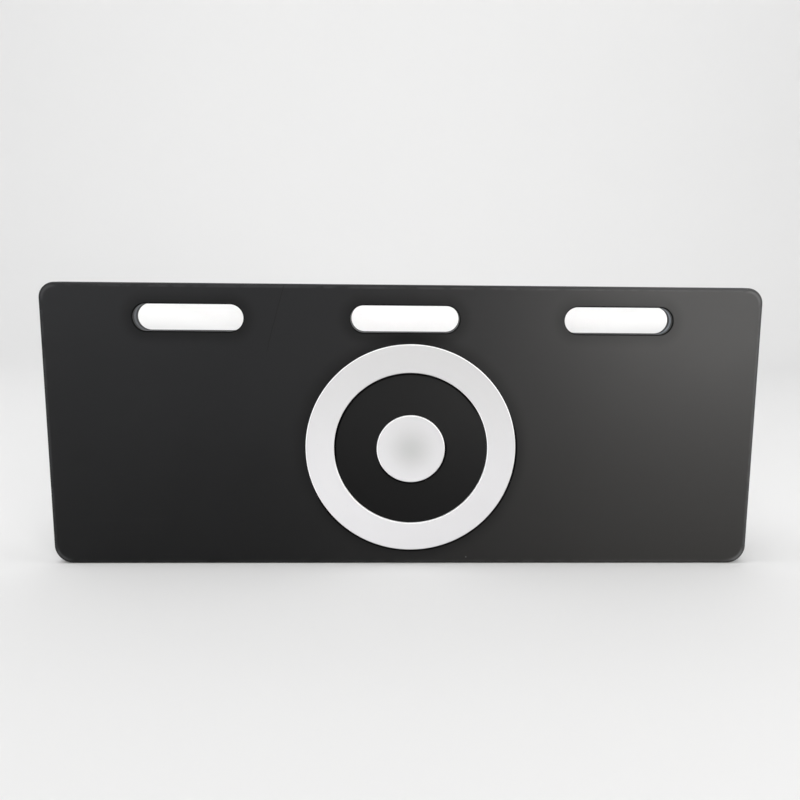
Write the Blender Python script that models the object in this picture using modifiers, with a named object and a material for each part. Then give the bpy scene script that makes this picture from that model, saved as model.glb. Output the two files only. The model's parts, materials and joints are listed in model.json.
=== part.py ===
# Soccer rebound board: a black sandwich board with three hand slots and a raised target,
# held upright by two support wings that fold flat against its back.
# Metres, +Z up. X runs along the board, -Y is the face that the ball strikes.
# The origin is the middle of the board's bottom edge, half way through its thickness.

import math

import bmesh
import bpy
from mathutils import Euler, Matrix, Vector

# Board
BOARD_WIDTH = 1.000
BOARD_HEIGHT = 0.400
SHEET_THICKNESS = 0.008
CORE_THICKNESS = 0.0094
CORNER_RADIUS = 0.026
EDGE_ROUND = 0.003
FIT_GAP = 0.0003  # glue line, and the clearance left between pieces that touch

# Hand slots, counted from the middle one
SLOT_LENGTH = 0.151
SLOT_HEIGHT = 0.037
SLOT_PITCH = 0.298
SLOT_DROP = 0.047  # top edge of the board to the middle of a slot
SLOT_EDGE_ROUND = 0.002

# Target, which fills the face between the slots and the bottom edge
TARGET_X = 0.009
RING_TOP_MARGIN = 0.016  # slots to the ring
RING_BOTTOM_MARGIN = 0.0215  # ring to the board's bottom edge
RING_WIDTH = 0.040
SPOT_RADIUS = 0.0485
TARGET_THICKNESS = 0.0038
TARGET_PROUD = 0.0023
TARGET_EDGE_ROUND = 0.0009

# Support wings
WING_X = 0.320  # middle of the board to a wing's inner face
WING_THICKNESS = 0.010
WING_TOP_MARGIN = 0.0545  # top of a wing to the slots above it
WING_BASE_DEPTH = 0.200
WING_TOP_DEPTH = 0.062
WING_HEEL_HEIGHT = 0.045
WING_CORNER_RADIUS = 0.022
WING_TOE_RADIUS = 0.011
WING_FRONT_RADIUS = 0.005
WING_EDGE_ROUND = 0.0015

# Butt hinges
HINGE_LENGTH = 0.070
HINGE_LEAF_WIDTH = 0.028  # pin axis to the leaf's free edge
HINGE_LEAF_THICKNESS = 0.002
BARREL_RADIUS = 0.004
PIN_RADIUS = 0.002
PIN_HEAD_RADIUS = 0.0032
PIN_HEAD_HEIGHT = 0.0012
PIN_HEAD_CHAMFER = 0.0006
KNUCKLES = 5
HINGE_INSET = 0.057  # bottom or top of a wing to the middle of the hinge near it
HINGE_SCREW_REACH = 0.0165  # pin axis to the screws
HINGE_SCREW_SPREAD = 0.044  # between a leaf's two screws

# Feet
FOOT_LENGTH = 0.040
FOOT_WIDTH = 0.013
FOOT_HEIGHT = 0.005
FOOT_INSET = 0.034  # back of the wing to the middle of its foot
FOOT_EDGE_ROUND = 0.0010
FOOT_SCREW_SINK = 0.0016  # how deep the screw's head lies above the ground

# Magnetic catches, which hold the wings folded
CATCH_LENGTH = 0.046
CATCH_WIDTH = 0.015
CATCH_DEPTH = 0.006
CATCH_INSET = 0.034  # back of a wing to the middle of its keeper
CATCH_Z = 0.062
CATCH_SCREW_SPREAD = 0.034
CATCH_EDGE_ROUND = 0.0012
MAGNET_LENGTH = 0.019
MAGNET_WIDTH = 0.009
MAGNET_DEPTH = 0.004

# Countersunk screws: radius of the shank and of the head
HINGE_SCREW_RADII = (0.0021, 0.0037)
CATCH_SCREW_RADII = (0.00175, 0.0032)
KEEPER_SCREW_RADII = (0.0015, 0.0027)
FOOT_SCREW_RADII = (0.00175, 0.0032)
FOOT_SCREW_LENGTH = 0.016
SCREW_FLOOR = 0.0008  # sheet left beyond a screw's point
SCREW_TIP = 0.0015
SCREW_TIP_RADIUS = 0.0004

# Facets
CORNER_STEPS = 8
SLOT_END_STEPS = 12
WING_CORNER_STEPS = 4
RING_STEPS = 80
SPOT_STEPS = 48
SCREW_STEPS = 12
BARREL_STEPS = 16
ROUND_STEPS = 2
SHARP_ANGLE = math.radians(50)  # an edge that turns more than this is shaded sharp
OVERCUT = 0.002  # how far a cutter runs past the face that it opens

# Derived places
BOARD_DEPTH = 2 * SHEET_THICKNESS + CORE_THICKNESS + 2 * FIT_GAP
FRONT_Y = -BOARD_DEPTH / 2
BACK_Y = BOARD_DEPTH / 2
SLOT_Z = BOARD_HEIGHT - SLOT_DROP
SLOT_BOTTOM = SLOT_Z - SLOT_HEIGHT / 2
RING_OUTER_RADIUS = (SLOT_BOTTOM - RING_TOP_MARGIN - RING_BOTTOM_MARGIN) / 2
RING_INNER_RADIUS = RING_OUTER_RADIUS - RING_WIDTH
TARGET_Z = RING_BOTTOM_MARGIN + RING_OUTER_RADIUS
WING_TOP = SLOT_BOTTOM - WING_TOP_MARGIN
HINGE_HEIGHTS = {"low": FOOT_HEIGHT + HINGE_INSET, "high": WING_TOP - HINGE_INSET}
PIVOT_OFFSET = BARREL_RADIUS + FIT_GAP  # pin axis to the faces that carry the leaves
FOLDED_GAP = 2 * PIVOT_OFFSET  # between the board and a folded wing
KEEPER_THICKNESS = FOLDED_GAP - CATCH_DEPTH - 3 * FIT_GAP
CATCH_REACH = WING_BASE_DEPTH - CATCH_INSET - PIVOT_OFFSET  # pin axis to the middle of the catch
THINNEST_SEAT = min(SHEET_THICKNESS, WING_THICKNESS)
HINGE_SCREW = (*HINGE_SCREW_RADII, HINGE_LEAF_THICKNESS + FIT_GAP + THINNEST_SEAT - SCREW_FLOOR)
CATCH_SCREW = (*CATCH_SCREW_RADII, CATCH_DEPTH + FIT_GAP + SHEET_THICKNESS - SCREW_FLOOR)
KEEPER_SCREW = (*KEEPER_SCREW_RADII, KEEPER_THICKNESS + FIT_GAP + WING_THICKNESS - SCREW_FLOOR)
FOOT_SCREW = (*FOOT_SCREW_RADII, FOOT_SCREW_LENGTH)
STAND_UP = Euler((math.pi / 2, 0, 0))  # outline's X, Y to the world's X, Z; its Z faces the front
SIDES = {"left": -1, "right": 1}
ENDS = {"lower": -1, "upper": 1}

BLACK_PLASTIC = ((0.018, 0.018, 0.019, 1), 0.42, 0.0)
WING_PLASTIC = ((0.020, 0.020, 0.021, 1), 0.45, 0.0)
CORE_PLASTIC = ((0.22, 0.23, 0.24, 1), 0.75, 0.0)
TARGET_PLASTIC = ((0.70, 0.70, 0.72, 1), 0.50, 0.0)
ZINC_STEEL = ((0.55, 0.56, 0.57, 1), 0.32, 1.0)
PIN_STEEL = ((0.62, 0.62, 0.63, 1), 0.25, 1.0)
BLACK_SCREW = ((0.10, 0.10, 0.10, 1), 0.38, 1.0)
BLACK_RUBBER = ((0.015, 0.015, 0.015, 1), 0.85, 0.0)
CATCH_PLASTIC = ((0.06, 0.06, 0.065, 1), 0.50, 0.0)
MAGNET_STEEL = ((0.36, 0.36, 0.37, 1), 0.40, 1.0)


def clear_scene():
    for thing in list(bpy.data.objects):
        bpy.data.objects.remove(thing, do_unlink=True)


def make_collection(name):
    collection = bpy.data.collections.new(name)
    bpy.context.scene.collection.children.link(collection)
    return collection


def dress(thing, look):
    """Give the object its own Principled material."""
    color, roughness, metallic = look
    material = bpy.data.materials.new(thing.name + "_finish")
    material.use_nodes = True
    shader = material.node_tree.nodes["Principled BSDF"]
    shader.inputs["Base Color"].default_value = color
    shader.inputs["Roughness"].default_value = roughness
    shader.inputs["Metallic"].default_value = metallic
    thing.data.materials.clear()
    thing.data.materials.append(material)


def place(name, mesh, location, turn, look=None, parent=None):
    """Make an object of the mesh. One without a look is a cutter."""
    thing = bpy.data.objects.new(name, mesh)
    (CUTTERS if look is None else PARTS).objects.link(thing)
    thing.matrix_world = Matrix.LocRotScale(Vector(location), turn, None)
    if look is None:
        thing.hide_render = True
        thing.display_type = "WIRE"
    else:
        dress(thing, look)
    if parent is not None:
        thing.parent = parent
        thing.matrix_parent_inverse = parent.matrix_world.inverted()
    return thing


def cut(thing, cutter):
    boolean = thing.modifiers.new(cutter.name, "BOOLEAN")
    boolean.operation = "DIFFERENCE"
    boolean.solver = "EXACT"
    boolean.object = cutter


def arc(center, radius, start, end, steps):
    """Points on an arc, in degrees, both ends included."""
    angles = [math.radians(start + (end - start) * i / steps) for i in range(steps + 1)]
    return [(center[0] + radius * math.cos(a), center[1] + radius * math.sin(a)) for a in angles]


def board_outline():
    right = BOARD_WIDTH / 2 - CORNER_RADIUS
    top = BOARD_HEIGHT - CORNER_RADIUS
    corners = [(right, CORNER_RADIUS, -90), (right, top, 0), (-right, top, 90), (-right, CORNER_RADIUS, 180)]
    points = []
    for x, z, start in corners:
        points += arc((x, z), CORNER_RADIUS, start, start + 90, CORNER_STEPS)
    return points


def slot_outline(position):
    """Slot number -1, 0 or 1, with half-round ends."""
    x = position * SLOT_PITCH
    radius = SLOT_HEIGHT / 2
    reach = SLOT_LENGTH / 2 - radius
    right_end = arc((x + reach, SLOT_Z), radius, -90, 90, SLOT_END_STEPS)
    left_end = arc((x - reach, SLOT_Z), radius, 90, 270, SLOT_END_STEPS)
    return right_end + left_end


def rounded_outline(corners, radii, steps):
    """Round each corner of a convex outline, given anticlockwise, with its own radius."""
    points = []
    for i, (corner, radius) in enumerate(zip(corners, radii)):
        here = Vector(corner)
        before = (Vector(corners[i - 1]) - here).normalized()
        after = (Vector(corners[(i + 1) % len(corners)]) - here).normalized()
        half = before.angle(after) / 2
        center = here + (before + after).normalized() * (radius / math.sin(half))
        start = math.atan2(before.y, before.x) + math.pi / 2
        sweep = math.pi - 2 * half
        points += arc(center, radius, math.degrees(start), math.degrees(start + sweep), steps)
    return points


def flat_mesh(name, outlines, thickness):
    """A plate lying on the XY plane, half its thickness to each side, its later outlines being holes."""
    curve = bpy.data.curves.new(name, "CURVE")
    curve.dimensions = "2D"
    curve.fill_mode = "BOTH"
    curve.extrude = thickness / 2
    for points in outlines:
        spline = curve.splines.new("POLY")
        spline.points.add(len(points) - 1)
        for point, (x, y) in zip(spline.points, points):
            point.co = (x, y, 0, 1)
        spline.use_cyclic_u = True
    guide = bpy.data.objects.new(name, curve)
    bpy.context.scene.collection.objects.link(guide)
    evaluated = guide.evaluated_get(bpy.context.evaluated_depsgraph_get())
    mesh = bpy.data.meshes.new_from_object(evaluated)
    bpy.data.objects.remove(guide)
    shape = bmesh.new()
    shape.from_mesh(mesh)
    bmesh.ops.remove_doubles(shape, verts=shape.verts, dist=1e-6)
    bmesh.ops.dissolve_limit(
        shape, angle_limit=math.radians(1), verts=shape.verts, edges=shape.edges, delimit={"NORMAL"}
    )
    bmesh.ops.recalc_face_normals(shape, faces=shape.faces)
    shape.to_mesh(mesh)
    shape.free()
    return mesh


def rim_edges(shape, side, chosen=lambda middle: True):
    """Edges where the plate's wall meets its face on one side, +1 or -1, of the XY plane."""
    level = max(vertex.co.z * side for vertex in shape.verts)
    found = []
    for edge in shape.edges:
        on_face = all(abs(vertex.co.z * side - level) < 1e-6 for vertex in edge.verts)
        on_rim = any(abs(face.normal.z) < 0.5 for face in edge.link_faces)
        middle = (edge.verts[0].co + edge.verts[1].co) / 2
        if on_face and on_rim and chosen(middle):
            found.append(edge)
    return found


def round_rim(mesh, side, radius, chosen=lambda middle: True):
    shape = bmesh.new()
    shape.from_mesh(mesh)
    bmesh.ops.bevel(
        shape,
        geom=rim_edges(shape, side, chosen),
        offset=radius,
        offset_type="OFFSET",
        segments=ROUND_STEPS,
        profile=0.5,
        affect="EDGES",
        clamp_overlap=False,
    )
    bmesh.ops.recalc_face_normals(shape, faces=shape.faces)
    shape.to_mesh(mesh)
    shape.free()


def box_mesh(name, size, edge_round=0.0):
    shape = bmesh.new()
    bmesh.ops.create_cube(shape, size=1.0, matrix=Matrix.Diagonal((*size, 1)))
    if edge_round:
        bmesh.ops.bevel(
            shape, geom=shape.edges, offset=edge_round, segments=ROUND_STEPS, profile=0.5, affect="EDGES"
        )
    mesh = bpy.data.meshes.new(name)
    shape.to_mesh(mesh)
    shape.free()
    return mesh


def turned(thing, steps):
    """Spin the profile about the object's Z axis."""
    screw = thing.modifiers.new("turn", "SCREW")
    screw.axis = "Z"
    screw.angle = 2 * math.pi
    screw.steps = steps
    screw.render_steps = steps
    screw.use_merge_vertices = True
    screw.merge_threshold = 1e-6
    screw.use_smooth_shade = False
    smooth(thing)
    return thing


def smooth(thing):
    thing.data.shade_smooth()
    thing.data.set_sharp_from_angle(angle=SHARP_ANGLE)


def keep_faces_flat(thing):
    """Weigh the normals by area, so that a rounded edge doesn't shade the flat face beside it."""
    weighted = thing.modifiers.new("face_normals", "WEIGHTED_NORMAL")
    weighted.keep_sharp = True


def profile_mesh(name, points, closed=False):
    """An edge loop in the XZ plane from (radius, height) pairs, running down its outer side."""
    mesh = bpy.data.meshes.new(name)
    edges = [(i, i + 1) for i in range(len(points) - 1)]
    if closed:
        edges.append((len(points) - 1, 0))
    mesh.from_pydata([(radius, 0, height) for radius, height in points], edges, [])
    return mesh


def screw_profile(size):
    """Half section of a countersunk screw, its flat head at height 0 and its point down."""
    shank, head, length = size
    cone = head - shank
    flank = [(head, 0), (shank, -cone), (shank, SCREW_TIP - length), (SCREW_TIP_RADIUS, -length)]
    return [(0, 0)] + flank + [(0, -length)]


def hole_profile(size, sink):
    """The hole that takes the screw: its section grown by the clearance, open above the head."""
    shank, head, length = size
    cone = head - shank
    mouth = head + FIT_GAP
    bore = shank + FIT_GAP
    end = -length - FIT_GAP
    return [(0, sink + OVERCUT), (mouth, sink + OVERCUT), (mouth, 0), (bore, -cone), (bore, end), (0, end)]


def add_screw(name, size, head_place, turn, holds, parent=None, sink=0.0):
    """A countersunk screw and its hole through the pieces it holds. Its point leads along the turned -Z."""
    look = ZINC_STEEL if size is HINGE_SCREW else BLACK_SCREW
    screw_mesh = profile_mesh(name, screw_profile(size))
    turned(place(name, screw_mesh, head_place, turn, look, parent), SCREW_STEPS)
    hole_mesh = profile_mesh(name + "_hole", hole_profile(size, sink))
    hole = turned(place(name + "_hole", hole_mesh, head_place, turn), SCREW_STEPS)
    for piece in holds:
        cut(piece, hole)


def board_layer(name, thickness, middle_y, look):
    outlines = [board_outline()] + [slot_outline(i) for i in (-1, 0, 1)]
    mesh = flat_mesh(name, outlines, thickness)
    return place(name, mesh, (0, middle_y, 0), STAND_UP, look)


def in_slot_zone(middle):
    """Whether an edge of a board layer belongs to a hand slot and not to the board's outline."""
    at_slots = abs(middle.y - SLOT_Z) < SLOT_HEIGHT / 2 + FIT_GAP
    return at_slots and abs(middle.x) < SLOT_PITCH + SLOT_LENGTH / 2 + FIT_GAP


def make_board():
    offset = (CORE_THICKNESS + SHEET_THICKNESS) / 2 + FIT_GAP
    front = board_layer("front_sheet", SHEET_THICKNESS, -offset, BLACK_PLASTIC)
    board_layer("foam_core", CORE_THICKNESS, 0, CORE_PLASTIC)
    rear = board_layer("rear_sheet", SHEET_THICKNESS, offset, BLACK_PLASTIC)
    for sheet, side in ((front, 1), (rear, -1)):
        round_rim(sheet.data, side, SLOT_EDGE_ROUND, in_slot_zone)
        round_rim(sheet.data, side, EDGE_ROUND, lambda middle: not in_slot_zone(middle))
        smooth(sheet)
    return front, rear


def target_profile(outer, inner):
    """Section of a target piece, with the ball's side up and its front edges rounded."""
    shoulder = TARGET_THICKNESS - TARGET_EDGE_ROUND
    outer_edge = arc((outer - TARGET_EDGE_ROUND, shoulder), TARGET_EDGE_ROUND, 90, 0, ROUND_STEPS)
    if inner == 0:
        return [(0, TARGET_THICKNESS)] + outer_edge + [(outer, 0), (0, 0)]
    inner_edge = arc((inner + TARGET_EDGE_ROUND, shoulder), TARGET_EDGE_ROUND, 180, 90, ROUND_STEPS)
    return [(inner, 0)] + inner_edge + outer_edge + [(outer, 0)]


def seat_profile(outer, inner):
    """Section of the seat that a target piece lies in, running past the sheet's face."""
    inside = max(inner - FIT_GAP, 0)
    outside = outer + FIT_GAP
    return [(inside, TARGET_THICKNESS), (outside, TARGET_THICKNESS), (outside, -FIT_GAP), (inside, -FIT_GAP)]


def make_target(front):
    back_y = FRONT_Y + TARGET_THICKNESS - TARGET_PROUD
    for name, outer, inner, steps in (
        ("target_ring", RING_OUTER_RADIUS, RING_INNER_RADIUS, RING_STEPS),
        ("target_spot", SPOT_RADIUS, 0, SPOT_STEPS),
    ):
        piece_mesh = profile_mesh(name, target_profile(outer, inner), closed=inner > 0)
        turned(place(name, piece_mesh, (TARGET_X, back_y, TARGET_Z), STAND_UP, TARGET_PLASTIC), steps)
        seat_mesh = profile_mesh(name + "_seat", seat_profile(outer, inner), closed=inner > 0)
        cut(front, turned(place(name + "_seat", seat_mesh, (TARGET_X, back_y, TARGET_Z), STAND_UP), steps))


def wing_outline():
    """The wing seen from its side: X away from the board, Y up, standing on its foot's height."""
    near = FIT_GAP
    low = FOOT_HEIGHT
    corners = [
        (near, low),
        (WING_BASE_DEPTH, low),
        (WING_BASE_DEPTH, low + WING_HEEL_HEIGHT),
        (WING_TOP_DEPTH, WING_TOP),
        (near, WING_TOP),
    ]
    radii = [WING_FRONT_RADIUS, WING_TOE_RADIUS, WING_CORNER_RADIUS, WING_CORNER_RADIUS, WING_FRONT_RADIUS]
    return rounded_outline(corners, radii, WING_CORNER_STEPS)


def leaf_outline():
    """Section of a hinge leaf across its pin: a barrel at the origin, and a plate along +X."""
    inner_face = HINGE_LEAF_THICKNESS - BARREL_RADIUS
    meets = math.degrees(math.asin(inner_face / BARREL_RADIUS))
    barrel = arc((0, 0), BARREL_RADIUS, meets, 270, BARREL_STEPS)
    return [(HINGE_LEAF_WIDTH, -BARREL_RADIUS), (HINGE_LEAF_WIDTH, inner_face)] + barrel


def add_leaf(name, own_knuckles, location, turn, parent=None):
    """A leaf with its barrel on the location's vertical axis, cut away for the other leaf's knuckles."""
    leaf = place(name, flat_mesh(name, [leaf_outline()], HINGE_LENGTH), location, turn, ZINC_STEEL, parent)
    knuckle = HINGE_LENGTH / KNUCKLES
    reach = BARREL_RADIUS + FIT_GAP
    for i in range(KNUCKLES):
        if i in own_knuckles:
            continue
        low = -HINGE_LENGTH / 2 + i * knuckle - (FIT_GAP / 2 if i else OVERCUT)
        high = -HINGE_LENGTH / 2 + (i + 1) * knuckle + (FIT_GAP / 2 if i < KNUCKLES - 1 else OVERCUT)
        size = (2 * reach, 2 * reach, high - low)
        middle = Matrix.LocRotScale(Vector(location), turn, None) @ Vector((0, 0, (low + high) / 2))
        cut(leaf, place(f"{name}_gap_{i}", box_mesh("knuckle_gap", size), middle, turn))
    bore = [(0, HINGE_LENGTH / 2 + OVERCUT), (PIN_RADIUS + FIT_GAP, HINGE_LENGTH / 2 + OVERCUT)]
    bore += [(radius, -height) for radius, height in reversed(bore)]
    cut(leaf, turned(place(name + "_bore", profile_mesh("pin_bore", bore), location, turn), BARREL_STEPS))
    smooth(leaf)
    return leaf


def pin_profile():
    face = HINGE_LENGTH / 2 + FIT_GAP
    top = face + PIN_HEAD_HEIGHT
    upper = [(0, top), (PIN_HEAD_RADIUS - PIN_HEAD_CHAMFER, top), (PIN_HEAD_RADIUS, top - PIN_HEAD_CHAMFER)]
    upper += [(PIN_HEAD_RADIUS, face), (PIN_RADIUS, face)]
    return upper + [(radius, -height) for radius, height in reversed(upper)]


def leaf_screws(leaf, holds, location, turn, parent=None):
    """Two screws through the leaf's plate, their heads on the side away from its seat."""
    frame = Matrix.LocRotScale(Vector(location), turn, None)
    into_seat = (frame.to_3x3() @ Matrix.Rotation(-math.pi / 2, 3, "X")).to_quaternion()
    head = frame @ Vector((HINGE_SCREW_REACH, HINGE_LEAF_THICKNESS - BARREL_RADIUS, 0))
    for label, step in ENDS.items():
        above = Vector((0, 0, step * HINGE_SCREW_SPREAD / 2))
        add_screw(f"{leaf.name}_screw_{label}", HINGE_SCREW, head + above, into_seat, [leaf, holds], parent)


def make_wing(side_name, rear):
    side = SIDES[side_name]
    pivot = Vector((side * (WING_X - PIVOT_OFFSET), BACK_Y + PIVOT_OFFSET, 0))
    axis = bpy.data.objects.new(f"wing_{side_name}_axis", None)
    axis.location = pivot
    PARTS.objects.link(axis)
    bpy.context.view_layer.update()

    mesh = flat_mesh("wing", [wing_outline()], WING_THICKNESS)
    for face in (1, -1):
        round_rim(mesh, face, WING_EDGE_ROUND)
    middle_x = side * (WING_X + WING_THICKNESS / 2)
    square_on = Euler((math.pi / 2, 0, math.pi / 2))
    wing = place(f"wing_{side_name}", mesh, (middle_x, BACK_Y, 0), square_on, WING_PLASTIC, axis)
    smooth(wing)

    fixed_turn = Euler((0, math.pi if side > 0 else 0, 0))
    moving_turn = Euler((0 if side > 0 else math.pi, 0, math.pi / 2))
    for level, height in HINGE_HEIGHTS.items():
        name = f"hinge_{side_name}_{level}"
        where = pivot + Vector((0, 0, height))
        fixed = add_leaf(name + "_fixed_leaf", range(0, KNUCKLES, 2), where, fixed_turn)
        leaf_screws(fixed, rear, where, fixed_turn)
        moving = add_leaf(name + "_moving_leaf", range(1, KNUCKLES, 2), where, moving_turn, axis)
        leaf_screws(moving, wing, where, moving_turn, axis)
        pin = place(name + "_pin", profile_mesh("pin", pin_profile()), where, Euler(), PIN_STEEL)
        turned(pin, BARREL_STEPS)
    make_foot(side_name, wing, middle_x, axis)
    make_catch(side_name, side, rear, wing, pivot, axis)


def make_foot(side_name, wing, middle_x, axis):
    height = FOOT_HEIGHT - FIT_GAP
    mesh = box_mesh("foot", (FOOT_WIDTH, FOOT_LENGTH, height), FOOT_EDGE_ROUND)
    middle_y = BACK_Y + WING_BASE_DEPTH - FOOT_INSET
    foot = place(f"foot_{side_name}", mesh, (middle_x, middle_y, height / 2), Euler(), BLACK_RUBBER, axis)
    smooth(foot)
    head = (middle_x, middle_y, FOOT_SCREW_SINK)
    upside_down = Euler((math.pi, 0, 0))
    add_screw(
        f"foot_{side_name}_screw", FOOT_SCREW, head, upside_down, [foot, wing], axis, sink=FOOT_SCREW_SINK
    )


def make_catch(side_name, side, rear, wing, pivot, axis):
    """The catch on the board, and the steel keeper on the wing that lands on it when folded."""
    board_x = pivot.x - side * CATCH_REACH
    body_y = BACK_Y + FIT_GAP + CATCH_DEPTH / 2
    body_mesh = box_mesh("catch", (CATCH_WIDTH, CATCH_DEPTH, CATCH_LENGTH), CATCH_EDGE_ROUND)
    body = place(f"catch_{side_name}_body", body_mesh, (board_x, body_y, CATCH_Z), Euler(), CATCH_PLASTIC)
    smooth(body)
    face_y = BACK_Y + FIT_GAP + CATCH_DEPTH
    pocket_depth = MAGNET_DEPTH + FIT_GAP + OVERCUT
    pocket_mesh = box_mesh(
        "magnet_pocket", (MAGNET_WIDTH + 2 * FIT_GAP, pocket_depth, MAGNET_LENGTH + 2 * FIT_GAP)
    )
    pocket_y = face_y + OVERCUT - pocket_depth / 2
    cut(body, place(f"catch_{side_name}_pocket", pocket_mesh, (board_x, pocket_y, CATCH_Z), Euler()))
    magnet_mesh = box_mesh("magnet", (MAGNET_WIDTH, MAGNET_DEPTH, MAGNET_LENGTH))
    magnet_y = face_y - MAGNET_DEPTH / 2
    place(f"catch_{side_name}_magnet", magnet_mesh, (board_x, magnet_y, CATCH_Z), Euler(), MAGNET_STEEL)

    wing_face_x = side * WING_X
    keeper_x = wing_face_x - side * (FIT_GAP + KEEPER_THICKNESS / 2)
    keeper_y = pivot.y + CATCH_REACH
    keeper_mesh = box_mesh("keeper", (KEEPER_THICKNESS, CATCH_WIDTH, CATCH_LENGTH))
    keeper = place(
        f"keeper_{side_name}", keeper_mesh, (keeper_x, keeper_y, CATCH_Z), Euler(), ZINC_STEEL, axis
    )

    into_board = Euler((-math.pi / 2, 0, 0))
    into_wing = Euler((0, -side * math.pi / 2, 0))
    keeper_face_x = wing_face_x - side * (FIT_GAP + KEEPER_THICKNESS)
    for label, step in ENDS.items():
        z = CATCH_Z + step * CATCH_SCREW_SPREAD / 2
        add_screw(
            f"catch_{side_name}_screw_{label}", CATCH_SCREW, (board_x, face_y, z), into_board, [body, rear]
        )
        add_screw(
            f"keeper_{side_name}_screw_{label}",
            KEEPER_SCREW,
            (keeper_face_x, keeper_y, z),
            into_wing,
            [keeper, wing],
            axis,
        )


clear_scene()
PARTS = make_collection("soccer_rebound_board")
CUTTERS = make_collection("cutters")
front_sheet, rear_sheet = make_board()
make_target(front_sheet)
for name_of_side in SIDES:
    make_wing(name_of_side, rear_sheet)
for piece in PARTS.objects:
    if piece.type == "MESH":
        keep_faces_flat(piece)
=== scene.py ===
import json
import math

import bmesh
import bpy
from mathutils import Euler, Matrix, Vector

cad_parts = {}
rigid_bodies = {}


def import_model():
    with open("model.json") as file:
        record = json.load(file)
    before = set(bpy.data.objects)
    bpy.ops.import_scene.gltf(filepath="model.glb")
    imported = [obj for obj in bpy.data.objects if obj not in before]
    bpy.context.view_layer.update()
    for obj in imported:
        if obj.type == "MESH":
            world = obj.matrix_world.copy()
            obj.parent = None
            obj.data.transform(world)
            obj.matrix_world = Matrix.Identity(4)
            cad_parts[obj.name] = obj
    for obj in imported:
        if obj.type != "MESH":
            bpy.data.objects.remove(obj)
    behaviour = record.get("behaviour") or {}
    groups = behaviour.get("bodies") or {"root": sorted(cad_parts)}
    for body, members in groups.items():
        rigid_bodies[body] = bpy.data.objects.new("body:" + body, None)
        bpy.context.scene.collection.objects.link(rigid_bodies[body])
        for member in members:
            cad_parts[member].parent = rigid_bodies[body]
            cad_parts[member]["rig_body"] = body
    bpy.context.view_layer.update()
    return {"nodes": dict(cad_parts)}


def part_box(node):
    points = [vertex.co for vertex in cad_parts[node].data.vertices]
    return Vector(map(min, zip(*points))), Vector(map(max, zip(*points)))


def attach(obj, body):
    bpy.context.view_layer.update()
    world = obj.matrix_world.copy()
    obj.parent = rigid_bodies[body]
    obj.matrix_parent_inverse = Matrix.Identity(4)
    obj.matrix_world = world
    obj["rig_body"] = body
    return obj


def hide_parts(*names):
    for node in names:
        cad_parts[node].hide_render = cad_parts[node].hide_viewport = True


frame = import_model()
sides = {"Left": -1, "Right": 1}
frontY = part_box("front_sheet")[0].y
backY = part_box("rear_sheet")[1].y


class Wire:  # an output socket that can be added to, multiplied and so on
    def __init__(self, finish, socket):
        self.finish = finish
        self.socket = socket

    def math(self, operation, *others):
        return self.finish.node("Math", {"operation": operation}, dict(enumerate((self, *others))))

    def __add__(self, other):
        return self.math("ADD", other)

    __radd__ = __add__

    def __sub__(self, other):
        return self.math("SUBTRACT", other)

    def __rsub__(self, other):
        return self.finish.node("Math", {"operation": "SUBTRACT"}, {0: other, 1: self})

    def __mul__(self, other):
        return self.math("MULTIPLY", other)

    __rmul__ = __mul__

    def __truediv__(self, other):
        return self.math("DIVIDE", other)

    def __pow__(self, power):
        return self.math("POWER", power)

    def __abs__(self):
        return self.math("ABSOLUTE")

    def above(self, other):
        return self.math("MAXIMUM", other)

    def below(self, other):
        return self.math("MINIMUM", other)

    def ramp(self, start, end):  # a smooth step from 0 to 1, which may run downwards
        sockets = {"Value": self, "From Min": start, "From Max": end}
        return self.finish.node("MapRange", {"interpolation_type": "SMOOTHSTEP"}, sockets)


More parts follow.
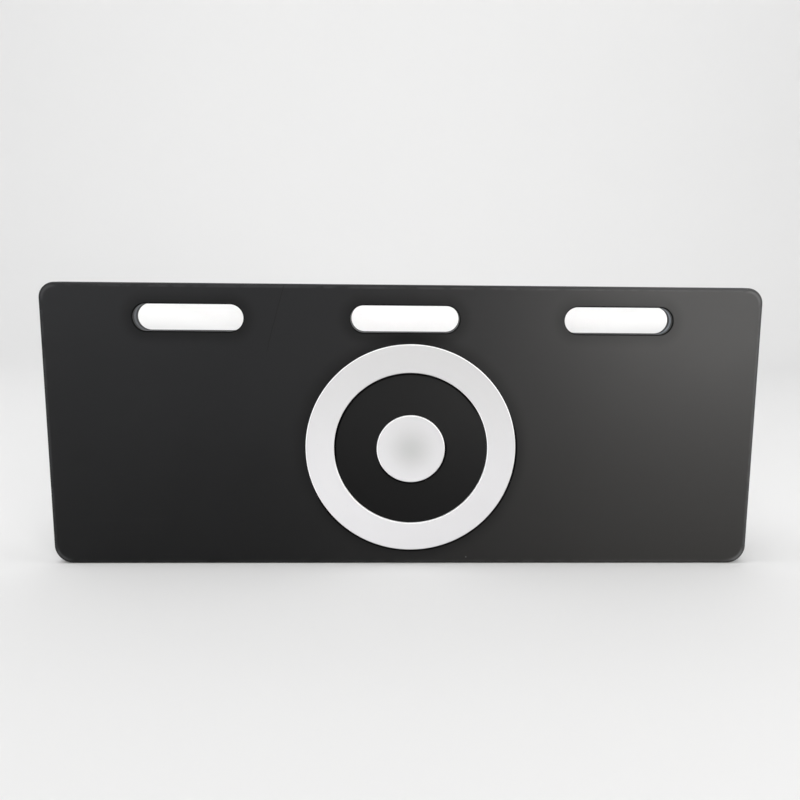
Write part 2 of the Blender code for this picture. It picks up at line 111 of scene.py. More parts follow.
class Finish:  # one material on one Principled shader
    def __init__(self, name, metallic=0.0, specular=0.5):
        self.material = bpy.data.materials.new(name)
        self.material.use_nodes = True
        self.tree = self.material.node_tree
        self.shader = self.tree.nodes["Principled BSDF"]
        self.set("Metallic", metallic)
        self.set("Specular IOR Level", specular)
        self.place = self.node("TexCoord", {}, {}, "Object")
        self.x, self.y, self.z = self.node("SeparateXYZ", {}, {0: self.place}, "X", "Y", "Z")

    def node(self, kind, settings, sockets, *outputs):  # the first output, or those that are named
        made = self.tree.nodes.new("ShaderNode" + kind)
        for name, value in settings.items():
            setattr(made, name, value)
        for name, value in sockets.items():
            self.feed(made.inputs[name], value)
        wires = [Wire(self, made.outputs[output]) for output in outputs or (0,)]
        return wires[0] if len(wires) == 1 else wires

    def feed(self, socket, value):
        if isinstance(value, Wire):
            self.tree.links.new(value.socket, socket)
        else:
            socket.default_value = value

    def set(self, name, value):
        self.feed(self.shader.inputs[name], value)

    def mix(self, factor, first, second):  # two colours
        first, second = (color if isinstance(color, Wire) else (*color, 1) for color in (first, second))
        return self.node("Mix", {"data_type": "RGBA"}, {0: factor, 6: first, 7: second}, 2)

    def distance(self, point):
        return self.node("VectorMath", {"operation": "DISTANCE"}, {0: self.place, 1: point}, "Value")

    def noise(self, scale, detail=2.0, roughness=0.5, place=None):
        sockets = {"Vector": place or self.place, "Scale": scale, "Detail": detail, "Roughness": roughness}
        return self.node("TexNoise", {}, sockets)

    def cells(self, scale):
        return self.node("TexVoronoi", {"feature": "F1"}, {"Vector": self.place, "Scale": scale})

    def recess(self):  # 1 in a screw head's recess
        return self.node("Attribute", {"attribute_name": "recess"}, {}, "Fac")

    def stretched(self, scale, turn=(0, 0, 0)):
        return self.node("Mapping", {}, {"Vector": self.place, "Scale": scale, "Rotation": turn})

    def bump(self, height, distance, strength=1.0, under=None):
        sockets = {"Height": height, "Distance": distance, "Strength": strength}
        if under:
            sockets["Normal"] = under
        return self.node("Bump", {}, sockets)

    def hairlines(self):  # fine crossing scuffs, in patches
        lines = 0
        for i, turn in enumerate((0.35, 1.30, -0.60, 2.25)):
            place = self.stretched((9.0, 9.0, 900.0), (0.2 * i, turn, 0.4 * i))
            lines = self.noise(1.0, 1.0, 0.4, place).ramp(0.70, 0.78).above(lines)
        return lines * self.noise(7.0, 2.0).ramp(0.45, 0.75)


# An outline is a list of (across, up, outward across, outward up), anticlockwise.

def arc(middle, radius, start, end, steps):
    points = []
    for i in range(steps + 1):
        turn = math.radians(start + (end - start) * i / steps)
        across, up = math.cos(turn), math.sin(turn)
        points.append((middle[0] + radius * across, middle[1] + radius * up, across, up))
    return points


def cornerOutline(corners, radii, steps):
    outline = []
    for i, (corner, radius) in enumerate(zip(corners, radii)):
        here = Vector(corner)
        before = (Vector(corners[i - 1]) - here).normalized()
        after = (Vector(corners[(i + 1) % len(corners)]) - here).normalized()
        half = before.angle(after) / 2
        middle = here + (before + after).normalized() * (radius / math.sin(half))
        start = math.degrees(math.atan2(before.y, before.x)) + 90
        outline += arc(middle, radius, start, start + 180 - 2 * math.degrees(half), steps)
    return outline


def facingFront(across, up, depth):
    return (across, depth, up)


def facingSide(across, up, depth):
    return (depth, across, up)


def facingUp(across, up, depth):
    return (across, up, depth)


def addWall(shape, outline, profile, lay):  # one ring of points for each (growth, depth), joined by quads
    rings = []
    for growth, depth in profile:
        points = [lay(across + growth * aside, up + growth * rise, depth) for across, up, aside, rise in outline]
        rings.append([shape.verts.new(point) for point in points])
    for first, second in zip(rings, rings[1:]):
        for i in range(len(outline)):
            j = (i + 1) % len(outline)
            shape.faces.new((first[i], first[j], second[j], second[i]))
    return rings


def fillBetween(shape, rings):
    edges = []
    for ring in rings:
        for i, vert in enumerate(ring):
            pair = (vert, ring[(i + 1) % len(ring)])
            edges.append(shape.edges.get(pair) or shape.edges.new(pair))
    bmesh.ops.triangle_fill(shape, use_beauty=True, use_dissolve=False, edges=edges)


def roundOver(radius, steps):  # (inset, distance below the face), from the wall to the face
    turns = [math.pi / 2 * i / steps for i in range(steps + 1)]
    return [(radius * (1 - math.cos(turn)), radius * (1 - math.sin(turn))) for turn in turns]


def closedMesh(shape, name):
    bmesh.ops.remove_doubles(shape, verts=shape.verts, dist=1e-6)
    bmesh.ops.recalc_face_normals(shape, faces=shape.faces)
    mesh = bpy.data.meshes.new(name)
    shape.to_mesh(mesh)
    shape.free()
    return mesh


def turnedMesh(name, profile, steps, hollow=False):  # (radius, height) points spun about Z
    shape = bmesh.new()
    rings = []
    for radius, height in profile:
        turns = [2 * math.pi * i / steps for i in range(steps)] if radius else [0]
        rings.append([shape.verts.new((radius * math.cos(t), radius * math.sin(t), height)) for t in turns])
    for first, second in zip(rings, rings[1:] + rings[:1] if hollow else rings[1:]):
        for i in range(steps):
            j = (i + 1) % steps
            corners = [ring[k % len(ring)] for ring, k in ((first, i), (first, j), (second, j), (second, i))]
            shape.faces.new(list(dict.fromkeys(corners)))  # a ring of one point gives triangles
    return closedMesh(shape, name)


def prismMesh(name, points, low, high):
    shape = bmesh.new()
    rings = [[shape.verts.new((x, y, z)) for x, y in points] for z in (low, high)]
    for i in range(len(points)):
        j = (i + 1) % len(points)
        shape.faces.new((rings[0][i], rings[0][j], rings[1][j], rings[1][i]))
    for ring in rings:
        fillBetween(shape, [ring])
    return closedMesh(shape, name)


def boxMesh(name, size, middle, radius=0.0, steps=4):
    shape = bmesh.new()
    bmesh.ops.create_cube(shape, size=1.0, matrix=Matrix.LocRotScale(Vector(middle), None, Vector(size)))
    if radius:
        bmesh.ops.bevel(shape, geom=shape.edges, offset=radius, segments=steps, profile=0.5, affect="EDGES")
    return closedMesh(shape, name)


def joinedMesh(name, meshes):
    shape = bmesh.new()
    for mesh in meshes:
        shape.from_mesh(mesh)
    joined = bpy.data.meshes.new(name)
    shape.to_mesh(joined)
    shape.free()
    return joined


def newObject(name, mesh):
    thing = bpy.data.objects.new(name, mesh)
    bpy.context.scene.collection.objects.link(thing)
    return thing


def applyModifiers(thing):
    bpy.context.view_layer.update()
    mesh = bpy.data.meshes.new_from_object(thing.evaluated_get(bpy.context.evaluated_depsgraph_get()))
    thing.modifiers.clear()
    thing.data = mesh
    return mesh


def carvedMesh(name, mesh, cutters, edgeBreak):  # what the cutters leave, with its sharp edges broken
    thing = newObject(name, mesh)
    helpers = [newObject("cutter", cutter) for cutter in cutters]
    for helper in helpers:
        cut = thing.modifiers.new("cut", "BOOLEAN")
        cut.object = helper
        cut.operation = "DIFFERENCE"
    bevel = thing.modifiers.new("edges", "BEVEL")
    bevel.width = edgeBreak
    bevel.segments = 2
    bevel.limit_method = "ANGLE"
    bevel.angle_limit = math.radians(35)
    carved = applyModifiers(thing)
    for helper in (thing, *helpers):
        bpy.data.objects.remove(helper)
    return carved


def addPiece(name, mesh, material, body, nodes, smoothAngle=30):
    mesh.shade_smooth()
    mesh.set_sharp_from_angle(angle=math.radians(smoothAngle))
    thing = newObject(name, mesh)
    weighted = thing.modifiers.new("flatFaces", "WEIGHTED_NORMAL")
    weighted.keep_sharp = True
    applyModifiers(thing)
    thing.data.materials.clear()
    thing.data.materials.append(material)
    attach(thing, body)
    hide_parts(*nodes)
    return thing


def countersink(size, place, aim, rise=0.002):  # cutter for a countersunk screw's hole
    shank, head, length = size
    gap = 0.0002  # round the screw
    profile = [(0, rise), (head + gap, rise), (head + gap, 0)]
    profile += [(shank + gap, shank - head), (shank + gap, -length), (0, -length)]
    hole = turnedMesh("countersink", profile, 40)
    hole.transform(Matrix.LocRotScale(Vector(place), Vector(aim).to_track_quat("Z", "Y"), None))
    return hole


# The target: a ring and a spot, each let into a shallow seat.
target = {
    "x": 0.009,
    "z": 0.170,
    "ringOuter": 0.1485,
    "ringInner": 0.1085,
    "spot": 0.0482,
    "thickness": 0.0038,
    "proud": 0.0023,
    "edgeRound": 0.0009,
    "edgeSteps": 6,
    "backBreak": 0.0002,
    "steps": 192,
    # painted shade: the target is darker in its middle and towards its top
    "middleShadeColor": (0.432, 0.436, 0.436),
    "topShadeColor": (0.500, 0.499, 0.504),
    "color": (0.600, 0.597, 0.612),
    # painted highlight on the target's rims that face the light
    "rimHighlightColor": (0.86, 0.86, 0.87),
    "rimWidth": 0.0014,
    "shadowWidth": 0.0037,  # of the dark line on the board beside a rim
    "lightUp": 0.94,  # the way to the light, along the board's face
    "lightLeft": 0.35,
    "lit": (-1.1, 0.1),  # how far an edge faces the light where its line starts, and where it is full
    "shaded": (0.0, -0.3),
}


def targetEdges(finish, width, outside):  # a band along each edge, and how far that edge faces the light
    x, z = target["x"], target["z"]
    outward = finish.distance((x, frontY, z))
    facing = ((finish.z - z) * target["lightUp"] - (finish.x - x) * target["lightLeft"]) / outward
    bands = []
    for radius, turn in ((target["ringOuter"], 1), (target["ringInner"], -1), (target["spot"], 1)):
        reach = (outward - radius) * (turn if outside else -turn)
        band = reach.ramp(width, width * 0.7) * reach.ramp(-0.0004, 0.0)
        bands.append((band, facing * turn))
    return bands


def partOf(bands, facingRange):
    part = 0
    for band, facing in bands:
        part = (band * facing.ramp(*facingRange)).above(part)
    return part


def targetFinish():
    finish = Finish("targetPlastic", specular=0.42)
    outward = finish.distance((target["x"], frontY, target["z"]))
    rims = targetEdges(finish, target["rimWidth"], False)
    lit, shaded = partOf(rims, target["lit"]), partOf(rims, target["shaded"])
    clouds = finish.noise(14.0, 3.0, 0.55)
    speckle = finish.noise(420.0, 2.0).ramp(0.71, 0.76)
    # painted shade: darker towards the top of the target and in its middle
    color = finish.mix(finish.z.ramp(0.33, 0.09), target["topShadeColor"], target["color"])
    color = finish.mix(outward.ramp(0.0, 0.044), target["middleShadeColor"], color)
    # painted shade: the target darkens towards its right
    color = finish.mix(finish.x.ramp(-0.14, 0.16) * 0.11, color, (0, 0, 0))
    color = finish.mix(clouds * 0.1, color, (0.47, 0.47, 0.50))
    color = finish.mix(speckle * 0.3, color, (0.40, 0.40, 0.40))
    # painted highlight on the rims that face the light, painted shade on those that face away
    color = finish.mix(lit, color, target["rimHighlightColor"])
    finish.set("Base Color", finish.mix(shaded * 0.3, color, (0.2, 0.2, 0.2)))
    finish.set("Roughness", 0.40 + clouds * 0.1 - lit * 0.1)
    finish.set("Normal", finish.bump(finish.noise(1100.0, 2.0), 0.00004, 0.5))
    return finish.material


def targetMesh(name, outer, inner):
    top = target["thickness"]
    shoulder = roundOver(target["edgeRound"], target["edgeSteps"])
    small = target["backBreak"]
    outerEdge = [(outer - inset, top - down) for inset, down in reversed(shoulder)]
    outerEdge += [(outer, small), (outer - small, 0)]
    if inner:
        innerEdge = [(inner + small, 0), (inner, small)]
        innerEdge += [(inner + inset, top - down) for inset, down in shoulder]
        profile = innerEdge + outerEdge
    else:
        profile = [(0, top)] + outerEdge + [(0, 0)]
    mesh = turnedMesh(name, profile, target["steps"], hollow=inner > 0)
    back = Vector((target["x"], frontY + target["thickness"] - target["proud"], target["z"]))
    mesh.transform(Matrix.Translation(back) @ Matrix.Rotation(math.pi / 2, 4, "X"))
    return mesh


print("target")
targetPlastic = targetFinish()
ring = targetMesh("targetRing", target["ringOuter"], target["ringInner"])
spot = targetMesh("targetSpot", target["spot"], 0)
addPiece("targetRing", ring, targetPlastic, "board", ["target_ring"], 40)
addPiece("targetSpot", spot, targetPlastic, "board", ["target_spot"], 40)


# The board: a front and a rear sheet with a foam core between them, and three hand slots through all.
board = {
    "width": 1.0,
    "height": 0.4,
    "topRadius": 0.022,
    "bottomRadius": 0.026,
    "cornerSteps": 28,
    "edgeRound": 0.004,
    "edgeSteps": 8,
    "seamBreak": 0.0003,
    "coreRecess": 0.0004,
    "coreDip": 0.0003,
    "seatGap": 0.0003,
    "seatDepth": 0.0018,
    "seatBreak": 0.0002,
}
slots = {
    "length": 0.151,
    "height": 0.037,
    "pitch": 0.298,
    "middleZ": 0.353,
    "edgeRound": 0.002,
    "endSteps": 40,
}
blackSheet = {
    # painted sheen and shade: the face is lighter towards the right and towards the top, darkest low on the left
    "lowLeft": (0.0028, 0.0029, 0.0031),
    "lowRight": (0.0140, 0.0134, 0.0126),
    "highLeft": (0.0098, 0.0100, 0.0108),
    "highRight": (0.0136, 0.0134, 0.0136),
    "deep": (0.0016, 0.0016, 0.0017),  # painted shade round the target and the slots, also the colour of the scratch
    "wornColor": (0.040, 0.040, 0.042),
    # painted highlight along the round-over and corners; a small nick takes this colour too
    "highlightAndNickColor": (0.095, 0.095, 0.098),
    "specular": 0.19,
    "roughness": 0.38,
}
# painted highlights along the edges and corners (crest, bend, rightEdge, topEdge, cornerReach, endReach),
# painted shade along the slot rims (slotRim), and a real nick and scratch
frontWearAndPaintedLight = {  # places and widths in metres: a band starts at its first number and is full at its second
    "crest": ((0.0020, 0.0030), (0.0066, 0.0040)),
    "bend": ((0.0028, 0.0044), (0.0085, 0.0050)),
    "rightEdge": (0.0065, 0.0002),
    "topEdge": (0.0050, 0.0028),
    "slotRim": (0.0024, 0.0012),
    "cornerReach": (0.030, 0.014),
    "endReach": (0.020, 0.008),
    "nickPlace": (0.0898, 0.0099),
    "nickSize": (0.0012, 0.0006),
    "scratchTop": (-0.1812, 0.3515),
    "scratchSlope": 0.277,
    "scratchWander": 0.004,
    "scratchWidth": (0.0006, 0.0002),
    "scratchLow": (0.300, 0.316),
}


def edgeDistance(finish):  # how far inside the board's outline, in metres
    upperHalf = finish.z.math("GREATER_THAN", board["height"] / 2)
    radius = board["bottomRadius"] - upperHalf * (board["bottomRadius"] - board["topRadius"])
    overX = abs(finish.x) - board["width"] / 2 + radius
    overZ = abs(finish.z - board["height"] / 2) - board["height"] / 2 + radius
    outside = (overX.above(0.0) ** 2 + overZ.above(0.0) ** 2) ** 0.5
    return radius - (outside + overX.above(overZ).below(0.0))


def slotDistance(finish):  # how far outside the nearest slot, in metres
    outerSlot = abs(finish.x).math("GREATER_THAN", slots["pitch"] / 2)
    fromMiddle = abs(abs(finish.x) - outerSlot * slots["pitch"])
    radius = slots["height"] / 2
    overX = (fromMiddle - (slots["length"] / 2 - radius)).above(0.0)
    return (overX ** 2 + (finish.z - slots["middleZ"]) ** 2) ** 0.5 - radius


def edgeHighlights(finish, sideways, fromEdge):  # painted highlights: the light that the round-over and the corners catch
    halfWidth, halfHeight = board["width"] / 2, board["height"] / 2
    (crestIn, crestOut), (bendIn, bendOut) = frontWearAndPaintedLight["crest"], frontWearAndPaintedLight["bend"]
    cornerX = abs(finish.x).ramp(*(halfWidth - reach for reach in frontWearAndPaintedLight["cornerReach"]))
    cornerZ = abs(finish.z - halfHeight).ramp(*(halfHeight - reach for reach in frontWearAndPaintedLight["cornerReach"]))
    besideEnds = abs(finish.x).ramp(*(halfWidth - reach for reach in frontWearAndPaintedLight["endReach"]))
    crest = fromEdge.ramp(*crestOut) * fromEdge.ramp(*crestIn)
    strength = sideways * 0.10 + besideEnds * 0.12 + finish.z.ramp(0.380, 0.392) * 0.10 + 0.07
    wearAndHighlight = crest * finish.noise(60.0, 3.0, 0.6).ramp(0.30, 0.60) * strength
    bend = fromEdge.ramp(*bendOut) * fromEdge.ramp(*bendIn) * cornerX * cornerZ * (sideways * 0.35 + 0.35)
    topEdge = finish.z.ramp(*(board["height"] - depth for depth in frontWearAndPaintedLight["topEdge"])) * sideways ** 2 * 0.42
    rightEdge = fromEdge.ramp(*frontWearAndPaintedLight["rightEdge"]) * besideEnds * sideways * 0.45
    return wearAndHighlight.above(bend).above(topEdge).above(rightEdge)


def scratchLine(finish):
    x, z = frontWearAndPaintedLight["scratchTop"]
    path = (finish.z - z) * frontWearAndPaintedLight["scratchSlope"] + x + finish.noise(30.0, 1.0) * frontWearAndPaintedLight["scratchWander"]
    return abs(finish.x - path).ramp(*frontWearAndPaintedLight["scratchWidth"]) * finish.z.ramp(*frontWearAndPaintedLight["scratchLow"])


def frontFinish():
    finish = Finish("blackSheetFront", specular=blackSheet["specular"])
    clouds = finish.noise(5.0, 3.0, 0.55)
    outward = finish.distance((target["x"], frontY, target["z"]))
    fromSlot, fromEdge = slotDistance(finish), edgeDistance(finish)
    sideways = finish.x.ramp(-0.25, 0.45)
    roundTarget, roundSlot = outward.ramp(0.172, 0.146), fromSlot.ramp(0.022, 0.002)
    # painted shade: darker round the target and round the slots
    deep = roundTarget.above(roundSlot * 0.8)
    # painted shade, dark in colour and in Metallic: low inside the ring, between the slots and the target, along
    # the slot rims, and the shadow lines beside the target's rims
    insideRing = outward.ramp(0.112, 0.107) * finish.z.ramp(0.26, 0.07)
    shaded = partOf(targetEdges(finish, target["shadowWidth"], True), target["shaded"])
    rim = fromSlot.ramp(*frontWearAndPaintedLight["slotRim"])
    shade = (insideRing * 0.32).above(roundTarget * roundSlot).above(rim * 0.75).above(shaded * 0.95)
    wearAndHighlight = edgeHighlights(finish, sideways, fromEdge)
    nickX, nickZ = frontWearAndPaintedLight["nickPlace"]
    nick = finish.distance((nickX, frontY, nickZ)).ramp(*frontWearAndPaintedLight["nickSize"])
    scratch = scratchLine(finish)
    lines = finish.hairlines()
    # painted sheen and shade: lighter towards the right and towards the top, darkest low on the left
    low = finish.mix(sideways, blackSheet["lowLeft"], blackSheet["lowRight"])
    high = finish.mix(sideways, blackSheet["highLeft"], blackSheet["highRight"])
    color = finish.mix((finish.z * 2.2 + clouds * 0.5 - 0.2).ramp(0.0, 1.0), low, high)
    color = finish.mix(deep * 0.9, color, blackSheet["deep"])
    color = finish.mix(lines * 0.1, color, blackSheet["wornColor"])
    # painted highlights along the edges and corners, and a small nick, in the light colour
    color = finish.mix(wearAndHighlight.above(nick), color, blackSheet["highlightAndNickColor"])
    # the scratch and the painted shade take the dark colour
    color = finish.mix(scratch.above(shade), color, blackSheet["deep"])
    finish.set("Base Color", color)
    finish.set("Metallic", shade)  # with a black base colour this takes the gloss away, as a shadow would
    finish.set("Roughness", blackSheet["roughness"] + clouds * 0.07 + wearAndHighlight * 0.12 + lines * 0.03)
    peel = finish.bump(finish.noise(190.0, 2.0), 0.00012, 0.35)
    grain = finish.bump(finish.noise(1500.0, 2.0), 0.00003, 0.5, peel)
    finish.set("Normal", finish.bump(1 - scratch.above(lines * 0.3), 0.00012, 0.6, grain))
    return finish.material


def rearFinish():
    finish = Finish("blackSheetRear", specular=0.36)
    clouds = finish.noise(6.0, 3.0, 0.6)
    rims = edgeDistance(finish).ramp(0.0036, 0.0010).above(slotDistance(finish).ramp(0.0026, 0.0006))
    # the rear sheet's edges and slot rims are worn lighter
    wearAndHighlight = rims * finish.noise(150.0, 3.0, 0.6).ramp(0.44, 0.60)
    lines = finish.hairlines()
    color = finish.mix(clouds, (0.0075, 0.0075, 0.0080), (0.0125, 0.0120, 0.0118))
    color = finish.mix(wearAndHighlight * 0.6, color, (0.05, 0.05, 0.052))
    color = finish.mix(lines * 0.4, color, (0.04, 0.04, 0.04))
    finish.set("Base Color", color)
    finish.set("Roughness", 0.46 + clouds * 0.1 + wearAndHighlight * 0.1)
    hammered = finish.bump(finish.noise(520.0, 1.0), 0.0002, 0.5)
    finish.set("Normal", finish.bump(1 - lines, 0.0001, 0.5, hammered))
    return finish.material


def coreFinish():
    finish = Finish("coreFoam", specular=0.3)
    pores = finish.cells(900.0)
    tone = finish.noise(40.0, 3.0)
    color = finish.mix(tone, (0.120, 0.130, 0.145), (0.205, 0.215, 0.230))
    # painted highlight: the core is lighter round the right end of the right slot
    rightEnd = (slots["pitch"] + slots["length"] / 2, 0, slots["middleZ"])
    color = finish.mix(finish.distance(rightEnd).ramp(0.034, 0.012) * 0.9, color, (0.42, 0.46, 0.51))
    color = finish.mix(pores.ramp(0.55, 0.15) * 0.55, color, (0.060, 0.066, 0.075))
    finish.set("Base Color", color)
    finish.set("Roughness", 0.72 + tone * 0.15)
    small = finish.bump(pores, 0.0004, 0.8)
    finish.set("Normal", finish.bump(finish.cells(330.0), 0.0003, 0.5, small))
    return finish.material


def boardOutline():
    x, z = board["width"] / 2, board["height"]
    radii = [board["bottomRadius"]] * 2 + [board["topRadius"]] * 2
    return cornerOutline([(-x, 0), (x, 0), (x, z), (-x, z)], radii, board["cornerSteps"])


def slotOutline(position):
    radius = slots["height"] / 2
    reach = slots["length"] / 2 - radius
    x, z = position * slots["pitch"], slots["middleZ"]
    rightEnd = arc((x + reach, z), radius, -90, 90, slots["endSteps"])
    return rightEnd + arc((x - reach, z), radius, 90, 270, slots["endSteps"])


def seatOutline(radius):
    return arc((target["x"], target["z"]), radius, 0, 360, target["steps"])[:-1]


def sheetMesh(name, faceY, seamY, seats):
    shape = bmesh.new()
    inward = 1 if seamY > faceY else -1
    small = board["seamBreak"]
    seam = [(small, seamY), (0, seamY - inward * small)]
    steps = board["edgeSteps"]
    edge = seam + [(inset, faceY + inward * down) for inset, down in roundOver(board["edgeRound"], steps)]
    rim = seam + [(inset, faceY + inward * down) for inset, down in roundOver(slots["edgeRound"], steps)]
    rings = [addWall(shape, boardOutline(), [(-inset, y) for inset, y in edge], facingFront)]
    rings += [addWall(shape, slotOutline(i), rim, facingFront) for i in (-1, 0, 1)]
    fillBetween(shape, [ring[0] for ring in rings])
    face = [ring[-1] for ring in rings]
    if seats:
        gap, cut = board["seatGap"], board["seatBreak"]
        down = [(cut, faceY), (0, faceY + inward * cut), (0, faceY + inward * board["seatDepth"])]
        up = [(-growth, y) for growth, y in down]
        ringOut = addWall(shape, seatOutline(target["ringOuter"] + gap), down, facingFront)
        ringIn = addWall(shape, seatOutline(target["ringInner"] - gap), up, facingFront)
        spotSeat = addWall(shape, seatOutline(target["spot"] + gap), down, facingFront)
        fillBetween(shape, [ringOut[-1], ringIn[-1]])
        fillBetween(shape, [spotSeat[-1]])
        fillBetween(shape, [ringIn[0], spotSeat[0]])
        face.append(ringOut[0])
    fillBetween(shape, face)
    return closedMesh(shape, name)


def coreMesh():
    shape = bmesh.new()
    low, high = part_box("foam_core")
    profile = []
    for i in range(9):  # cut a little hollow between the two sheets
        share = i / 8
        inset = board["coreRecess"] + board["coreDip"] * math.sin(math.pi * share)
        profile.append((inset, low.y + (high.y - low.y) * share))
    rings = [addWall(shape, boardOutline(), [(-inset, y) for inset, y in profile], facingFront)]
    rings += [addWall(shape, slotOutline(i), profile, facingFront) for i in (-1, 0, 1)]
    fillBetween(shape, [ring[0] for ring in rings])
    fillBetween(shape, [ring[-1] for ring in rings])
    return closedMesh(shape, "corePanel")


print("board")
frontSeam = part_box("front_sheet")[1].y
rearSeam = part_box("rear_sheet")[0].y
frontPanel = sheetMesh("frontPanel", frontY, frontSeam, True)
rearPanel = sheetMesh("rearPanel", backY, rearSeam, False)
addPiece("frontPanel", frontPanel, frontFinish(), "board", ["front_sheet"], 40)
addPiece("rearPanel", rearPanel, rearFinish(), "board", ["rear_sheet"], 40)
addPiece("corePanel", coreMesh(), coreFinish(), "board", ["foam_core"], 40)


# The two wings behind the board that it stands on.
wing = {
    "innerX": 0.320,
    "thickness": 0.010,
    "low": 0.005,
    "top": 0.280,
    "baseDepth": 0.200,
    "topDepth": 0.062,
    "heel": 0.045,
    "gap": 0.0003,
    "cornerRadii": (0.005, 0.011, 0.022, 0.022, 0.005),
    "cornerSteps": 14,
    "edgeRound": 0.0015,
    "edgeSteps": 4,
}


def wingFinish():
    finish = Finish("blackSheetWing", specular=0.36)
    middle = wing["innerX"] + wing["thickness"] / 2
    face = wing["thickness"] / 2
    sawn = abs(abs(finish.x) - middle).ramp(face - 0.0001, face - 0.0010)  # 1 on the cut edges, 0 on the faces
    clouds = finish.noise(8.0, 3.0, 0.6)
    lines = finish.hairlines()
    color = finish.mix(clouds, (0.0080, 0.0080, 0.0084), (0.0140, 0.0136, 0.0132))
    color = finish.mix(lines * 0.4, color, (0.04, 0.04, 0.04))
    color = finish.mix(sawn * 0.6, color, (0.026, 0.026, 0.028))
    finish.set("Base Color", color)
    finish.set("Roughness", 0.45 + clouds * 0.1 + sawn * 0.16)
    marks = finish.noise(1.0, 2.0, 0.5, finish.stretched((60.0, 900.0, 900.0)))
    relief = marks * sawn + finish.noise(520.0, 1.0) * (1 - sawn)
    finish.set("Normal", finish.bump(relief, 0.0002, 0.5))
    return finish.material


def wingMesh(name, side):
    near = backY + wing["gap"]
    back = backY + wing["baseDepth"]
    heel = wing["low"] + wing["heel"]
    topBack = backY + wing["topDepth"]
    corners = [(near, wing["low"]), (back, wing["low"]), (back, heel)]
    corners += [(topBack, wing["top"]), (near, wing["top"])]
    outline = cornerOutline(corners, wing["cornerRadii"], wing["cornerSteps"])
    faces = sorted((side * wing["innerX"], side * (wing["innerX"] + wing["thickness"])))
    edge = roundOver(wing["edgeRound"], wing["edgeSteps"])
    profile = [(-inset, faces[0] + down) for inset, down in reversed(edge)]
    profile += [(-inset, faces[1] - down) for inset, down in edge]
    shape = bmesh.new()
    rings = addWall(shape, outline, profile, facingSide)
    fillBetween(shape, [rings[0]])
    fillBetween(shape, [rings[-1]])
    return closedMesh(shape, name)


print("wings")
wingSheet = wingFinish()
for label, side in sides.items():
    body = f"wing_{label.lower()}"
    name = f"wingPanel{label}"
    addPiece(name, wingMesh(name, side), wingSheet, body, [body], 40)


# The butt hinges. A leaf is made lying along +X from its pin, which is on Z, and is then turned into place.
hinge = {
    "length": 0.070,
    "leafWidth": 0.028,
    "leaf": 0.002,
    "barrel": 0.004,
    "curlInner": 0.0022,
    "curlEnd": -24,  # where the rolled knuckle stops short of its own leaf, in degrees
    "curlSteps": (44, 48),  # inside and outside
    "knuckles": 5,
    "gap": 0.0003,
    "cornerRadius": 0.0032,
    "edgeBreak": 0.00022,
    "heights": {"low": 0.062, "high": 0.223},
    "screwReach": 0.0165,
    "screwSpread": 0.044,
    "screw": (0.0021, 0.0037, 0.0095),  # shank radius, head radius, length
    "pin": 0.002,
    "pinHead": 0.0032,
    "pinHeadHeight": 0.0012,
    "pinSteps": 40,
    "domeSteps": 8,
}


def zincFinish(name, bright, along, recessed=False):
    finish = Finish(name, metallic=1.0)
    brushed = finish.noise(1.0, 3.0, 0.6, finish.stretched(along))
    bloom = finish.noise(55.0, 4.0, 0.6).ramp(0.52, 0.72)
    cooler = (bright[0] * 0.93, bright[1] * 0.96, bright[2])
    color = finish.mix(finish.noise(18.0, 2.0), bright, cooler)
    color = finish.mix(bloom * 0.45, color, (0.44, 0.44, 0.43))
    # painted shade: the recess in a screw head is darker
    if recessed:
        color = finish.mix(finish.recess() * 0.9, color, (0.05, 0.05, 0.05))
    finish.set("Base Color", color)
    finish.set("Roughness", 0.24 + brushed * 0.16 + bloom * 0.14)
    finish.set("Normal", finish.bump(brushed, 0.00005, 0.35))
    return finish.material


def leafMesh(name, ownKnuckles):
    barrel, inner, reach = hinge["barrel"], hinge["curlInner"], hinge["barrel"] + hinge["gap"]
    plateTop = hinge["leaf"] - barrel
    half = hinge["length"] / 2
    meets = math.degrees(math.asin(plateTop / inner)) + 360
    innerSteps, outerSteps = hinge["curlSteps"]
    curl = arc((0, 0), inner, meets, hinge["curlEnd"], innerSteps)
    curl += arc((0, 0), barrel, hinge["curlEnd"], 270, outerSteps)
    points = [(hinge["leafWidth"], -barrel), (hinge["leafWidth"], plateTop)] + [point[:2] for point in curl]
    cutters = []
    knuckle = hinge["length"] / hinge["knuckles"]
    for i in set(range(hinge["knuckles"])) - set(ownKnuckles):
        low = i * knuckle - half - (hinge["gap"] / 2 if i else knuckle)
        high = (i + 1) * knuckle - half + (hinge["gap"] / 2 if i < hinge["knuckles"] - 1 else knuckle)
        cutters.append(boxMesh("knuckleGap", (2 * reach, 2 * reach, high - low), (0, 0, (low + high) / 2)))
    radius = hinge["cornerRadius"]
    for step in (-1, 1):
        seat = (hinge["screwReach"], plateTop, step * hinge["screwSpread"] / 2)
        cutters.append(countersink(hinge["screw"], seat, (0, 1, 0)))
        x, z = hinge["leafWidth"] - radius, step * (half - radius)
        bend = [point[:2] for point in arc((x, z), radius, 0, 90 * step, 10)]
        beyond = [(x, z + 2 * step * radius), (x + 2 * radius, z + 2 * step * radius), (x + 2 * radius, z)]
        block = prismMesh("plateCorner", bend + beyond, -0.01, 0.01)
        block.transform(Matrix.Rotation(-math.pi / 2, 4, "X") @ Matrix.Diagonal((1, -1, 1, 1)))
        block.flip_normals()
        cutters.append(block)
    return carvedMesh(name, prismMesh(name, points, -half, half), cutters, hinge["edgeBreak"])


